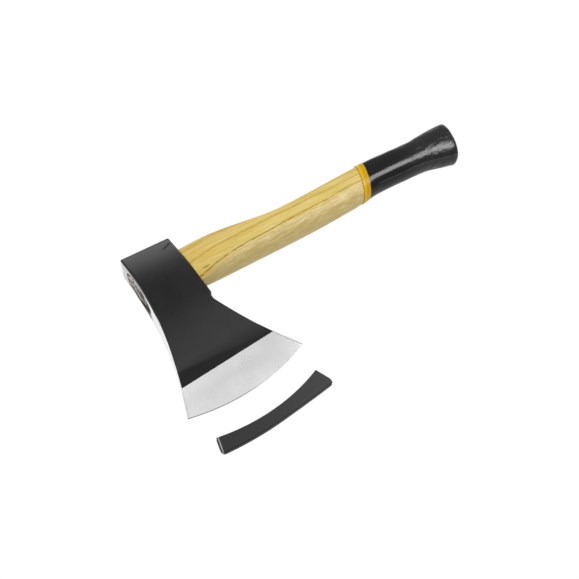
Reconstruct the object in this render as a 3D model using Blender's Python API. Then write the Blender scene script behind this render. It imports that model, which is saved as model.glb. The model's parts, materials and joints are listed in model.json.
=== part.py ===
"""A hatchet: a forged head, an ash handle wedged in its eye, a dipped grip and a push-on edge guard.

The hatchet has its own frame. X runs along the handle, away from the head, Y runs from the cutting
edge to the poll, and Z is the thickness, with the origin in the middle of the eye. The finished
hatchet is laid on its side on the floor, with the guard taken off and lying in front of the edge.
"""

import math

import bmesh
import bpy
from mathutils import Matrix, Vector

# Head: reach is measured from the poll face, rise and drop from the middle of the eye
POLL_TO_EYE = 0.0309
HEAD_RISE = 0.0223
HEAD_DROP = 0.0226
POLL_THICKNESS = 0.0223
CROWN_THICKNESS = 0.0262
POLL_ROUND = 0.0014
CORNER_ROUND = 0.0009

# Blade: the toe is the corner at the top of the head and the heel the one beside the handle
TOE_REACH = 0.1504
TOE_RISE = 0.0488
HEEL_REACH = 0.1448
HEEL_DROP = 0.0575
EDGE_RADIUS = 0.163
EDGE_LAND = 0.0004
BEVEL_THICKNESS = 0.0056
BEVEL_WIDTH_AT_TOE = 0.0222
BEVEL_WIDTH_AT_HEEL = 0.0210
CHEEK_SLOPE_AT_BEVEL = -0.05
TOE_SWEEP_START = 0.015
NOTCH_REACH = 0.0686
NOTCH_DEPTH = 0.0016
NOTCH_STEP = 0.0028
NOTCH_FLOOR = 0.0036
HEEL_SWEEP_SLOPE = 0.40

# Eye: a drop shape, wider at the top of the head so that the wedged tenon can't pull out
EYE_SHIFT = 0.0007
EYE_TOP_LENGTH = 0.0440
EYE_TOP_WIDTH = 0.0186
EYE_BOTTOM_LENGTH = 0.0412
EYE_BOTTOM_WIDTH = 0.0166
EYE_DROP_SHAPE = 0.18

# Handle: each section has a distance from the eye, a shift towards the edge, a width and a thickness
SHOULDER_END_LEDGE = 0.0007
SHOULDER_SIDE_LEDGE = 0.0030
SHOULDER_ROUND = 0.0004
HUMP_AT = 0.050
HUMP_SHIFT = 0.0003
HUMP_WIDTH = 0.0439
HUMP_THICKNESS = 0.0245
BELLY_AT = 0.125
BELLY_SHIFT = 0.0041
BELLY_WIDTH = 0.0361
BELLY_THICKNESS = 0.0245
SWELL_AT = 0.190
SWELL_SHIFT = 0.0013
SWELL_WIDTH = 0.0367
SWELL_THICKNESS = 0.0245
GRIP_AT = 0.225
GRIP_SHIFT = -0.0017
GRIP_WIDTH = 0.0339
GRIP_THICKNESS = 0.0240
NECK_AT = 0.275
NECK_SHIFT = -0.0004
NECK_WIDTH = 0.0339
NECK_THICKNESS = 0.0240
KNOB_AT = 0.320
KNOB_SHIFT = 0.0024
KNOB_WIDTH = 0.0454
KNOB_THICKNESS = 0.0274
KNOB_ROUND = 0.0040
HANDLE_END = 0.3255
END_SLANT = 0.40
END_DOME = 0.0012
OVAL_POWER = 2.3

# Wedges: one of wood in a lengthwise kerf, and two of steel driven across it
WOOD_WEDGE_DEPTH = 0.028
WOOD_WEDGE_TOP = 0.0048
WOOD_WEDGE_TIP = 0.0014
STEEL_WEDGE_DEPTH = 0.014
STEEL_WEDGE_WIDTH = 0.0115
STEEL_WEDGE_TOP = 0.0020
STEEL_WEDGE_TIP = 0.0006
STEEL_WEDGE_SPACING = 0.017

# Dipped coat and painted ring
BAND_AT = 0.2091
BAND_WIDTH = 0.0083
DIP_SLANT = 0.50
BAND_THICKNESS = 0.0007
COAT_THICKNESS = 0.0005

# Edge guard: a moulded channel that follows the cutting edge and is pushed along the floor onto it
GUARD_THICKNESS = 0.0048
GUARD_GROOVE_DEPTH = 0.0080
GUARD_BACK = 0.0022
GUARD_FLARE_AT_TOE = 0.0024
GUARD_FLARE_AT_HEEL = 0.0065
GUARD_END_INSET = 0.0060
GUARD_END_ROUND = 0.0030
GUARD_SPINE_ROUND = 0.0014
GUARD_LIP_ROUND = 0.0004
GUARD_GAP = 0.0242

# Clearances
SEAT_GAP = 0.0003
GROOVE_CLEARANCE = 0.0003
CUT_MARGIN = 0.004
MOST_CORNER = 0.4

# Fineness of the curved faces
RING_POINTS = 28
HANDLE_STEPS = 40
GRIP_STEPS = 16
ROUND_STEPS = 4
CORNER_STEPS = 2
DOME_RINGS = (0.7, 0.35)
BLADE_COLUMNS = 16
EYE_BLOCK_ROWS = 9
BLADE_ROWS = 8
GUARD_COLUMNS = 22
SMOOTH_ANGLE = math.radians(32)


def clear_scene():
    for obj in list(bpy.data.objects):
        bpy.data.objects.remove(obj, do_unlink=True)


def hermite(x, left, right):
    """A cubic between two (place, value, slope) ends."""
    (x0, y0, m0), (x1, y1, m1) = left, right
    span = x1 - x0
    t = (x - x0) / span
    return (
        y0 * (1 + 2 * t) * (1 - t) ** 2
        + m0 * span * t * (1 - t) ** 2
        + y1 * t * t * (3 - 2 * t)
        + m1 * span * t * t * (t - 1)
    )


def smooth_curve(places, values):
    """A function through the values that stays between each one and the next."""
    rates = []
    for i in range(len(places) - 1):
        rates.append((values[i + 1] - values[i]) / (places[i + 1] - places[i]))
    slopes = [rates[0]]
    for before, after in zip(rates, rates[1:]):
        turning = before * after <= 0
        slopes.append(0.0 if turning else 2 * before * after / (before + after))
    slopes.append(0.0)
    ends = list(zip(places, values, slopes))

    def value(x):
        i = 0
        while i < len(ends) - 2 and x > places[i + 1]:
            i += 1
        return hermite(x, ends[i], ends[i + 1])

    return value


def unit_oval():
    """Points round an oval of half width 1 and half height 1, from its side nearest the edge."""
    points = []
    for k in range(RING_POINTS):
        angle = 2 * math.pi * k / RING_POINTS
        cosine, sine = math.cos(angle), math.sin(angle)
        across = math.copysign(abs(cosine) ** (2 / OVAL_POWER), cosine)
        up = math.copysign(abs(sine) ** (2 / OVAL_POWER), sine)
        points.append((across, up))
    return points


UNIT_OVAL = unit_oval()


def loft(name, rings):
    """A closed mesh whose skin joins each ring to the next, with the first and last rings filled."""
    bm = bmesh.new()
    loops = [[bm.verts.new(point) for point in ring] for ring in rings]
    for first, second in zip(loops, loops[1:]):
        for k in range(len(first)):
            after = (k + 1) % len(first)
            bm.faces.new((first[k], first[after], second[after], second[k]))
    bm.faces.new(loops[0])
    bm.faces.new(loops[-1])
    bmesh.ops.recalc_face_normals(bm, faces=bm.faces)
    mesh = bpy.data.meshes.new(name)
    bm.to_mesh(mesh)
    bm.free()
    mesh.shade_smooth()
    mesh.set_sharp_from_angle(angle=SMOOTH_ANGLE)
    return mesh


def place(name, mesh, parent):
    obj = bpy.data.objects.new(name, mesh)
    bpy.context.scene.collection.objects.link(obj)
    obj.parent = parent
    return obj


def cutter(name, mesh, parent):
    obj = place(name, mesh, parent)
    obj.hide_render = True
    obj.display_type = "WIRE"
    return obj


def combine(obj, other, operation):
    modifier = obj.modifiers.new(other.name, "BOOLEAN")
    modifier.operation = operation
    modifier.solver = "EXACT"
    modifier.object = other


def finish(obj, colour, roughness, metallic=0.0):
    material = bpy.data.materials.new(obj.name)
    material.use_nodes = True
    shader = material.node_tree.nodes["Principled BSDF"]
    shader.inputs["Base Color"].default_value = (*colour, 1.0)
    shader.inputs["Roughness"].default_value = roughness
    shader.inputs["Metallic"].default_value = metallic
    obj.data.materials.append(material)
    return obj


# Outline of the head, as reach from the poll against place along the handle


def toe_line(reach):
    """The top of the head, level over the eye and swept out to the toe."""
    sweep = max(reach - TOE_SWEEP_START, 0.0) / (TOE_REACH - TOE_SWEEP_START)
    return -HEAD_RISE - (TOE_RISE - HEAD_RISE) * sweep**2


def heel_line(reach):
    """The underside of the head, stepped in past the eye and swept out to the heel."""
    step = min(max((reach - NOTCH_REACH) / NOTCH_STEP, 0.0), 1.0)
    start = NOTCH_REACH + NOTCH_STEP + NOTCH_FLOOR
    along = max(reach - start, 0.0)
    span = HEEL_REACH - start
    bend = (HEEL_DROP - HEAD_DROP + NOTCH_DEPTH - HEEL_SWEEP_SLOPE * span) / span**2
    return HEAD_DROP - NOTCH_DEPTH * step + HEEL_SWEEP_SLOPE * along + bend * along**2


TOE = Vector((TOE_REACH, -TOE_RISE))
HEEL = Vector((HEEL_REACH, HEEL_DROP))
BEVEL_TOE_REACH = TOE_REACH - BEVEL_WIDTH_AT_TOE
BEVEL_HEEL_REACH = HEEL_REACH - BEVEL_WIDTH_AT_HEEL
BEVEL_REACH = (BEVEL_TOE_REACH + BEVEL_HEEL_REACH) / 2


def edge_arc():
    """The centre of the cutting edge's arc, and its angles at the toe and the heel."""
    chord = HEEL - TOE
    inwards = Vector((-chord.y, chord.x)).normalized()
    centre = (TOE + HEEL) / 2 + inwards * math.sqrt(EDGE_RADIUS**2 - (chord.length / 2) ** 2)
    angles = [math.atan2(corner.y - centre.y, corner.x - centre.x) for corner in (TOE, HEEL)]
    return centre, angles[0], angles[1]


EDGE_CENTRE, TOE_ANGLE, HEEL_ANGLE = edge_arc()


def on_edge_arc(angle, radius):
    return EDGE_CENTRE + radius * Vector((math.cos(angle), math.sin(angle)))


def cheek_half(reach):
    """Half the head's thickness: crowned over the eye, then thinning to the bevel."""
    poll = (0.0, POLL_THICKNESS / 2, (CROWN_THICKNESS - POLL_THICKNESS) / POLL_TO_EYE)
    crown = (POLL_TO_EYE, CROWN_THICKNESS / 2, 0.0)
    bevel = (BEVEL_REACH, BEVEL_THICKNESS / 2, CHEEK_SLOPE_AT_BEVEL)
    return hermite(reach, poll, crown) if reach < POLL_TO_EYE else hermite(reach, crown, bevel)


def head_point(flat, height):
    return Vector((flat.y, POLL_TO_EYE - flat.x, height))


def head_ring(row, half):
    """A closed section of the head: row gives its centre line from toe side to heel side."""
    length = (row(1.0) - row(0.0)).length
    radius = min(CORNER_ROUND, MOST_CORNER * half)
    corner = []
    for step in range(CORNER_STEPS + 1):
        angle = math.pi / 2 * step / CORNER_STEPS
        inset = radius * (1 - math.cos(angle)) / length
        corner.append((inset, half - radius * (1 - math.sin(angle))))
    flat = 1 - 2 * inset
    middle = [(inset + flat * k / BLADE_COLUMNS, half) for k in range(1, BLADE_COLUMNS)]
    top = corner + middle + [(1 - share, height) for share, height in reversed(corner)]
    ring = [head_point(row(share), height) for share, height in top]
    ring += [head_point(row(share), -height) for share, height in reversed(top)]
    return ring


def straight_row(toe_reach, heel_reach, inset=0.0):
    start = Vector((toe_reach, toe_line(toe_reach) + inset))
    end = Vector((heel_reach, heel_line(heel_reach) - inset))
    return lambda share: start.lerp(end, share)


def edge_row(share):
    return on_edge_arc(TOE_ANGLE + (HEEL_ANGLE - TOE_ANGLE) * share, EDGE_RADIUS)


def head_rings():
    rings = []
    for step in range(ROUND_STEPS):
        angle = math.pi / 2 * step / ROUND_STEPS
        reach = POLL_ROUND * (1 - math.cos(angle))
        inset = POLL_ROUND * (1 - math.sin(angle))
        rings.append(head_ring(straight_row(reach, reach, inset), cheek_half(reach) - inset))
    for step in range(EYE_BLOCK_ROWS + 1):
        reach = POLL_ROUND + (NOTCH_REACH - POLL_ROUND) * step / EYE_BLOCK_ROWS
        rings.append(head_ring(straight_row(reach, reach), cheek_half(reach)))
    reach = NOTCH_REACH + NOTCH_STEP
    rings.append(head_ring(straight_row(reach, reach), cheek_half(reach)))
    reach += NOTCH_FLOOR
    for step in range(BLADE_ROWS + 1):
        share = step / BLADE_ROWS
        toe_reach = reach + (BEVEL_TOE_REACH - reach) * share
        heel_reach = reach + (BEVEL_HEEL_REACH - reach) * share
        half = cheek_half((toe_reach + heel_reach) / 2)
        rings.append(head_ring(straight_row(toe_reach, heel_reach), half))
    return rings


def head_mesh():
    """The forging: a skin over its sections, closed along the cutting edge by a strip of quads."""
    bm = bmesh.new()
    rings = head_rings() + [head_ring(edge_row, EDGE_LAND / 2)]
    loops = [[bm.verts.new(point) for point in ring] for ring in rings]
    count = len(loops[0])
    for first, second in zip(loops, loops[1:]):
        for k in range(count):
            after = (k + 1) % count
            bm.faces.new((first[k], first[after], second[after], second[k]))
    bm.faces.new(loops[0])
    edge = loops[-1]
    for k in range(count // 2 - 1):
        bm.faces.new((edge[k], edge[k + 1], edge[count - 2 - k], edge[count - 1 - k]))
    bmesh.ops.recalc_face_normals(bm, faces=bm.faces)
    mesh = bpy.data.meshes.new("axe_head")
    bm.to_mesh(mesh)
    bm.free()
    mesh.shade_smooth()
    mesh.set_sharp_from_angle(angle=SMOOTH_ANGLE)
    return mesh


# Eye and tenon


def eye_ring(along, clearance):
    """The eye's section, narrow towards the edge, made smaller all round by a clearance."""
    share = (along + HEAD_RISE) / (HEAD_RISE + HEAD_DROP)
    half_length = (EYE_TOP_LENGTH + (EYE_BOTTOM_LENGTH - EYE_TOP_LENGTH) * share) / 2 - clearance
    half_width = (EYE_TOP_WIDTH + (EYE_BOTTOM_WIDTH - EYE_TOP_WIDTH) * share) / 2 - clearance
    points = []
    for across, up in UNIT_OVAL:
        height = half_width * (1 - EYE_DROP_SHAPE * across) * up
        points.append(Vector((along, -EYE_SHIFT - half_length * across, height)))
    return points


def tenon_rings():
    return [eye_ring(-HEAD_RISE, SEAT_GAP), eye_ring(HEAD_DROP + SEAT_GAP, SEAT_GAP)]


def wedge_mesh(name, along_edge, top, tip, depth, grow):
    """A wedge driven in from the top of the head. grow widens it into the slot that it fits."""
    head_end = -HEAD_RISE - (CUT_MARGIN if grow else 0.0)
    spread = (top - tip) / 2 / depth * (CUT_MARGIN if grow else 0.0)
    sections = (
        (head_end, top / 2 + spread + grow),
        (-HEAD_RISE + depth + grow, tip / 2 + grow),
    )
    length = along_edge / 2 + grow
    rings = []
    for along, half in sections:
        corners = ((-length, -half), (length, -half), (length, half), (-length, half))
        rings.append([Vector((along, y, z)) for y, z in corners])
    return loft(name, rings)


# Handle

SHOULDER_AT = HEAD_DROP + SEAT_GAP
SHOULDER_WIDTH = EYE_BOTTOM_LENGTH + 2 * SHOULDER_END_LEDGE
SHOULDER_THICKNESS = EYE_BOTTOM_WIDTH + 2 * SHOULDER_SIDE_LEDGE
SECTIONS = (
    (SHOULDER_AT, EYE_SHIFT, SHOULDER_WIDTH, SHOULDER_THICKNESS),
    (HUMP_AT, HUMP_SHIFT, HUMP_WIDTH, HUMP_THICKNESS),
    (BELLY_AT, BELLY_SHIFT, BELLY_WIDTH, BELLY_THICKNESS),
    (SWELL_AT, SWELL_SHIFT, SWELL_WIDTH, SWELL_THICKNESS),
    (GRIP_AT, GRIP_SHIFT, GRIP_WIDTH, GRIP_THICKNESS),
    (NECK_AT, NECK_SHIFT, NECK_WIDTH, NECK_THICKNESS),
    (KNOB_AT, KNOB_SHIFT, KNOB_WIDTH, KNOB_THICKNESS),
)
STATIONS, SHIFTS, WIDTHS, THICKNESSES = zip(*SECTIONS)
handle_shift = smooth_curve(STATIONS, SHIFTS)
handle_width = smooth_curve(STATIONS, WIDTHS)
handle_thickness = smooth_curve(STATIONS, THICKNESSES)


def handle_ring(middle, slant=0.0, grow=0.0):
    """A ring of the handle's skin, grown outwards. A slanted one lies further along at the poll side."""
    lean = slant * handle_width(min(middle, KNOB_AT)) / 2
    points = []
    for across, up in UNIT_OVAL:
        along = middle - lean * across
        at = min(along, KNOB_AT)
        side = (handle_width(at) / 2 + grow) * across
        points.append(Vector((along, -handle_shift(at) - side, (handle_thickness(at) / 2 + grow) * up)))
    return points


def end_ring(advance, half_width, half_thickness):
    """A ring of the knob's slanted end, a little further along than the start of its rounding."""
    lean = END_SLANT * KNOB_WIDTH / 2
    points = []
    for across, up in UNIT_OVAL:
        along = HANDLE_END - KNOB_ROUND + advance - lean * across * half_width / (KNOB_WIDTH / 2)
        points.append(Vector((along, -KNOB_SHIFT - half_width * across, half_thickness * up)))
    return points


def handle_rings(start, slant, grow, steps):
    """Rings from start to the domed end of the knob, which take up the end's slant on the way."""
    rings = []
    for k in range(steps):
        share = k / steps
        middle = start + (HANDLE_END - KNOB_ROUND - start) * share
        rings.append(handle_ring(middle, slant + (END_SLANT - slant) * share, grow))
    radius = KNOB_ROUND + grow
    half_width, half_thickness = KNOB_WIDTH / 2 - KNOB_ROUND, KNOB_THICKNESS / 2 - KNOB_ROUND
    for k in range(ROUND_STEPS + 1):
        angle = math.pi / 2 * k / ROUND_STEPS
        out = radius * math.cos(angle)
        rings.append(end_ring(radius * math.sin(angle), half_width + out, half_thickness + out))
    for size in DOME_RINGS:
        advance = radius + END_DOME * (1 - size**2)
        rings.append(end_ring(advance, half_width * size, half_thickness * size))
    return rings


def shoulder_ring(inset):
    points = []
    for across, up in UNIT_OVAL:
        side = (SHOULDER_WIDTH / 2 - inset) * across
        points.append(Vector((SHOULDER_AT, -EYE_SHIFT - side, (SHOULDER_THICKNESS / 2 - inset) * up)))
    return points


def handle_mesh():
    rings = tenon_rings() + [shoulder_ring(SHOULDER_ROUND)]
    rings += handle_rings(SHOULDER_AT + SHOULDER_ROUND, 0.0, 0.0, HANDLE_STEPS)
    return loft("handle", rings)


def coat_mesh():
    start = BAND_AT + BAND_WIDTH + SEAT_GAP
    inner = handle_rings(start, DIP_SLANT, SEAT_GAP, GRIP_STEPS)
    outer = handle_rings(start, DIP_SLANT, SEAT_GAP + COAT_THICKNESS, GRIP_STEPS)
    return loft("grip_coat", inner[::-1] + outer)


def band_mesh():
    """The ring is closed on itself, from its inner face round to its outer face."""
    ends = (BAND_AT, BAND_AT + BAND_WIDTH)
    inner = [handle_ring(along, DIP_SLANT, SEAT_GAP) for along in ends]
    outer = [handle_ring(along, DIP_SLANT, SEAT_GAP + BAND_THICKNESS) for along in ends]
    loops_in_turn = [inner[0], inner[1], outer[1], outer[0]]
    bm = bmesh.new()
    loops = [[bm.verts.new(point) for point in ring] for ring in loops_in_turn]
    for i, first in enumerate(loops):
        second = loops[(i + 1) % len(loops)]
        for k in range(RING_POINTS):
            after = (k + 1) % RING_POINTS
            bm.faces.new((first[k], first[after], second[after], second[k]))
    bmesh.ops.recalc_face_normals(bm, faces=bm.faces)
    mesh = bpy.data.meshes.new("stripe_band")
    bm.to_mesh(mesh)
    bm.free()
    mesh.shade_smooth()
    mesh.set_sharp_from_angle(angle=SMOOTH_ANGLE)
    return mesh


# Edge guard

GUARD_TRAVEL = GUARD_GAP + GUARD_GROOVE_DEPTH - GROOVE_CLEARANCE
STEEPEST_BEVEL = (BEVEL_THICKNESS - EDGE_LAND) / 2 / min(BEVEL_WIDTH_AT_TOE, BEVEL_WIDTH_AT_HEEL)
GROOVE_FLOOR_HALF = EDGE_LAND / 2 + GROOVE_CLEARANCE
GROOVE_MOUTH_HALF = GROOVE_FLOOR_HALF + STEEPEST_BEVEL * GUARD_GROOVE_DEPTH
GUARD_RIM_RADIUS = EDGE_RADIUS + GROOVE_CLEARANCE - GUARD_GROOVE_DEPTH


def guard_section(depth):
    """The channel across its length, as (distance from the rim, height) points."""
    half = GUARD_THICKNESS / 2
    upper = [(GUARD_GROOVE_DEPTH, GROOVE_FLOOR_HALF), (0.0, GROOVE_MOUTH_HALF)]
    upper += [(0.0, half - GUARD_LIP_ROUND), (GUARD_LIP_ROUND, half)]
    for step in range(ROUND_STEPS):
        angle = math.pi / 2 * step / (ROUND_STEPS - 1)
        reach = depth - GUARD_SPINE_ROUND * (1 - math.sin(angle))
        upper.append((reach, half - GUARD_SPINE_ROUND * (1 - math.cos(angle))))
    return upper + [(reach, -height) for reach, height in reversed(upper)]


def guard_places():
    """Shares of the guard's length, closer together where its ends are rounded."""
    length = EDGE_RADIUS * (HEEL_ANGLE - TOE_ANGLE) - 2 * GUARD_END_INSET
    rounded = []
    for step in range(ROUND_STEPS):
        rounded.append(GUARD_END_ROUND * (1 - math.cos(math.pi / 2 * step / ROUND_STEPS)) / length)
    inner = GUARD_END_ROUND / length
    even = [inner + (1 - 2 * inner) * k / GUARD_COLUMNS for k in range(GUARD_COLUMNS + 1)]
    return length, rounded + even + [1 - share for share in reversed(rounded)]


def guard_mesh():
    """The channel along the edge's arc, deeper towards its ends, with the spine's corners rounded."""
    length, places = guard_places()
    rings = []
    for share in places:
        angle = TOE_ANGLE + (GUARD_END_INSET + length * share) / EDGE_RADIUS
        flare = GUARD_FLARE_AT_TOE if share < 0.5 else GUARD_FLARE_AT_HEEL
        depth = GUARD_GROOVE_DEPTH + GUARD_BACK + flare * (2 * share - 1) ** 2
        from_end = min(share, 1 - share) * length
        if from_end < GUARD_END_ROUND:
            short = GUARD_END_ROUND - from_end
            depth -= GUARD_END_ROUND - math.sqrt(max(GUARD_END_ROUND**2 - short**2, 0.0))
        ring = []
        for reach, height in guard_section(depth):
            ring.append(head_point(on_edge_arc(angle, GUARD_RIM_RADIUS + reach), height))
        rings.append(ring)
    return loft("edge_guard", rings)


# Lying on the floor


def lying_rotation():
    """The turn that brings the crown, the knob and the spine of the fitted guard down to one level."""
    coat = SEAT_GAP + COAT_THICKNESS
    crown = Vector((-HEAD_RISE, 0.0, -CROWN_THICKNESS / 2))
    knob = Vector((KNOB_AT, -KNOB_SHIFT, -KNOB_THICKNESS / 2 - coat))
    spine_radius = GUARD_RIM_RADIUS + GUARD_GROOVE_DEPTH + GUARD_BACK - GUARD_SPINE_ROUND
    spine = on_edge_arc((TOE_ANGLE + HEEL_ANGLE) / 2, spine_radius)
    level = (knob - crown).cross(head_point(spine, -GUARD_THICKNESS / 2) - crown)
    level.normalize()
    if level.z < 0:
        level.negate()
    return level.rotation_difference(Vector((0.0, 0.0, 1.0)))


def lowest_middle(nodes):
    """The middle of the bottom of the box round all the nodes."""
    bpy.context.view_layer.update()
    graph = bpy.context.evaluated_depsgraph_get()
    points = []
    for obj in nodes:
        shaped = obj.evaluated_get(graph)
        points += [shaped.matrix_world @ vertex.co for vertex in shaped.data.vertices]
    low = [min(point[axis] for point in points) for axis in range(3)]
    high = [max(point[axis] for point in points) for axis in range(3)]
    return Vector(((low[0] + high[0]) / 2, (low[1] + high[1]) / 2, low[2]))


def main():
    clear_scene()
    lay = place("hatchet_on_its_side", None, None)
    lay.rotation_mode = "QUATERNION"
    lay.rotation_quaternion = lying_rotation()

    head = finish(place("axe_head", head_mesh(), lay), (0.035, 0.036, 0.038), 0.45, 0.2)
    eye_ends = (-HEAD_RISE - CUT_MARGIN, HEAD_DROP + CUT_MARGIN)
    eye = cutter("eye_cutter", loft("eye_cutter", [eye_ring(end, 0.0) for end in eye_ends]), lay)
    combine(head, eye, "DIFFERENCE")

    handle = finish(place("handle", handle_mesh(), lay), (0.70, 0.52, 0.24), 0.4)
    tenon = cutter("tenon_form", loft("tenon_form", tenon_rings()), lay)
    longer = EYE_TOP_LENGTH + 2 * CUT_MARGIN
    sizes = (longer, WOOD_WEDGE_TOP, WOOD_WEDGE_TIP, WOOD_WEDGE_DEPTH)
    kerf = cutter("kerf_cutter", wedge_mesh("kerf_cutter", *sizes, SEAT_GAP), lay)
    kerf.location.y = -EYE_SHIFT
    combine(handle, kerf, "DIFFERENCE")
    wood = place("wooden_wedge", wedge_mesh("wooden_wedge", *sizes, 0.0), lay)
    wood.location.y = -EYE_SHIFT
    combine(wood, tenon, "INTERSECT")
    finish(wood, (0.55, 0.38, 0.22), 0.6)

    nodes = [head, handle, wood]
    steel_sizes = (STEEL_WEDGE_WIDTH, STEEL_WEDGE_TOP, STEEL_WEDGE_TIP, STEEL_WEDGE_DEPTH)
    for name, side in (("steel_wedge_rear", 0.5), ("steel_wedge_front", -0.5)):
        spot = Vector((0.0, -EYE_SHIFT + side * STEEL_WEDGE_SPACING, 0.0))
        turn = Matrix.Rotation(math.pi / 2, 4, "X")
        wedge = finish(place(name, wedge_mesh(name, *steel_sizes, 0.0), lay), (0.5, 0.5, 0.5), 0.4, 1)
        slot = cutter(name + "_slot", wedge_mesh(name + "_slot", *steel_sizes, SEAT_GAP), lay)
        for obj in (wedge, slot):
            obj.matrix_local = Matrix.Translation(spot) @ turn
        combine(handle, slot, "DIFFERENCE")
        combine(wood, slot, "DIFFERENCE")
        nodes.append(wedge)

    nodes.append(finish(place("stripe_band", band_mesh(), lay), (0.85, 0.50, 0.01), 0.35))
    nodes.append(finish(place("grip_coat", coat_mesh(), lay), (0.015, 0.015, 0.016), 0.25))

    slide = place("guard_slide", None, lay)
    slide.location = lay.rotation_quaternion.inverted() @ Vector((0.0, -GUARD_TRAVEL, 0.0))
    guard = finish(place("edge_guard", guard_mesh(), slide), (0.045, 0.045, 0.046), 0.6)
    nodes.append(guard)
    lay.location = -lowest_middle(nodes)


main()
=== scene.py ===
# %% [markdown]
# # A hatchet and its edge guard on a white floor
# The frame holds the hatchet's plain solids at their real size. This lesson models a fine surface over
# each of them, gives every surface its finish, and sets up a floor, soft lights and a camera. The box
# round the solids is kept now, so that the finished pieces can be compared with it at the end.

# %% Load the fixed frame
import json
import math

import bmesh
import bpy
from mathutils import Matrix, Vector


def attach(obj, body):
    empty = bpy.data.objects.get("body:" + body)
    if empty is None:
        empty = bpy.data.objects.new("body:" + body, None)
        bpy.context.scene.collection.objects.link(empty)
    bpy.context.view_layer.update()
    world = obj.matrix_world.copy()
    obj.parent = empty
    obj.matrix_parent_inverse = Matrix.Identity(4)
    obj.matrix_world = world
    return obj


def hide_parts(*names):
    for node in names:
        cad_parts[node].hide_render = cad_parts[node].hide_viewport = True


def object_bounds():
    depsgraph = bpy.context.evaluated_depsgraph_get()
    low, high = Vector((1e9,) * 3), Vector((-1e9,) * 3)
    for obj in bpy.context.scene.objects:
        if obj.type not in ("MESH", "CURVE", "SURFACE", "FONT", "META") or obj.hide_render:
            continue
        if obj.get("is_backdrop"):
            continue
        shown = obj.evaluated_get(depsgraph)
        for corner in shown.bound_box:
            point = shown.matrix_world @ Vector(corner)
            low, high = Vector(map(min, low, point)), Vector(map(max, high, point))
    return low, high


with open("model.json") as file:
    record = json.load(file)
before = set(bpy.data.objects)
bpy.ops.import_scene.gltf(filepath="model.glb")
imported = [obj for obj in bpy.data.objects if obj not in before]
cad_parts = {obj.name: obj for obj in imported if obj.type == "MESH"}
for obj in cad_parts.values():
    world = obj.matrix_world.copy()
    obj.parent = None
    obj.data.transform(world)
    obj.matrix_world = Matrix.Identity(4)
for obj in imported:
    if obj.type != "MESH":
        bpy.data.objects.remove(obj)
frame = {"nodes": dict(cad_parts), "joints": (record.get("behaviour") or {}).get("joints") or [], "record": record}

cad_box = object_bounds()
MM = 0.001
print("solids:", sorted(frame["nodes"]))

# %% [markdown]
# The hatchet lies tilted on its cheek, and it is easier to model it upright. So it gets its own frame:
# X along the handle, Y from the cutting edge to the poll, Z through the thickness, with the middle of
# the eye as the origin. Two of the record's mounts give the directions, and `LAY` carries a finished
# piece from its own frame to where the solids lie.

# %% The hatchet's own frame
POLL_TO_EYE = 30.9 * MM
HEAD_RISE = 22.3 * MM
HEAD_DROP = 22.6 * MM

mounts = {mount["name"]: mount for mount in frame["record"]["mounts"]}
along_handle = Vector(mounts["hand_grip"]["axis"]).normalized()
towards_poll = Vector(mounts["poll_face"]["axis"]).normalized()
through_cheek = along_handle.cross(towards_poll).normalized()
poll_middle = Vector(mounts["poll_face"]["pos_m"])
EYE = poll_middle - towards_poll * POLL_TO_EYE - along_handle * (HEAD_DROP - HEAD_RISE) / 2
LAY = Matrix((along_handle, towards_poll, through_cheek)).transposed().to_4x4()
LAY.translation = EYE
print("middle of the eye, in mm:", [round(value / MM, 2) for value in EYE])

# %% [markdown]
# The camera comes first, because every comparison with the photograph needs it. It looks down at the
# head from beside the cutting edge. Its place and its direction are written in the hatchet's own frame,
# so `LAY` carries the camera too. Its three axes follow from the direction and a slight roll.

# %% Camera
VIEW_AZIMUTH = math.radians(-39.836)
VIEW_ELEVATION = math.radians(51.507)
VIEW_ROLL = math.radians(4.733)
CAMERA_FROM_EYE = Vector((-144.91, -335.32, 442.96)) * MM
LENS = 42.72
SENSOR = 36

backwards = Vector((
    math.sin(VIEW_AZIMUTH) * math.cos(VIEW_ELEVATION),
    -math.cos(VIEW_AZIMUTH) * math.cos(VIEW_ELEVATION),
    math.sin(VIEW_ELEVATION),
))
level_right = Vector((math.cos(VIEW_AZIMUTH), math.sin(VIEW_AZIMUTH), 0))
level_up = backwards.cross(level_right)
right = level_right * math.cos(VIEW_ROLL) + level_up * math.sin(VIEW_ROLL)
up = level_up * math.cos(VIEW_ROLL) - level_right * math.sin(VIEW_ROLL)

camera = bpy.data.objects.new("camera", bpy.data.cameras.new("camera"))
bpy.context.scene.collection.objects.link(camera)
camera.data.lens = LENS
camera.data.sensor_width = SENSOR
aim = Matrix((right, up, backwards)).transposed().to_4x4()
camera.matrix_world = LAY @ Matrix.Translation(CAMERA_FROM_EYE) @ aim
bpy.context.scene.camera = camera
print("camera at, in mm:", [round(value / MM, 1) for value in camera.matrix_world.translation])

# %% [markdown]
# Shader maths is easier to read as Python than as a list of nodes and links. `Socket` wraps a node's
# output, and its operators add Math nodes. `Finish` is a new material: its method `add` makes any node
# from a type, its settings and its inputs, and `shader` fills in the sockets of the final shader.

# %% A small language for materials
class Socket:
    """A node's output, with arithmetic that adds Math nodes."""

    def __init__(self, finish, output):
        self.finish = finish
        self.output = output

    def math(self, operation, *others):
        return self.finish.math(operation, self, *others)

    def __add__(self, other):
        return self.math("ADD", other)

    def __sub__(self, other):
        return self.math("SUBTRACT", other)

    def __rsub__(self, other):
        return self.finish.math("SUBTRACT", other, self)

    def __mul__(self, other):
        return self.math("MULTIPLY", other)

    def __truediv__(self, other):
        return self.math("DIVIDE", other)

    def __abs__(self):
        return self.math("ABSOLUTE")

    def squared(self):
        return self.math("MULTIPLY", self)

    __radd__ = __add__
    __rmul__ = __mul__


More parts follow.
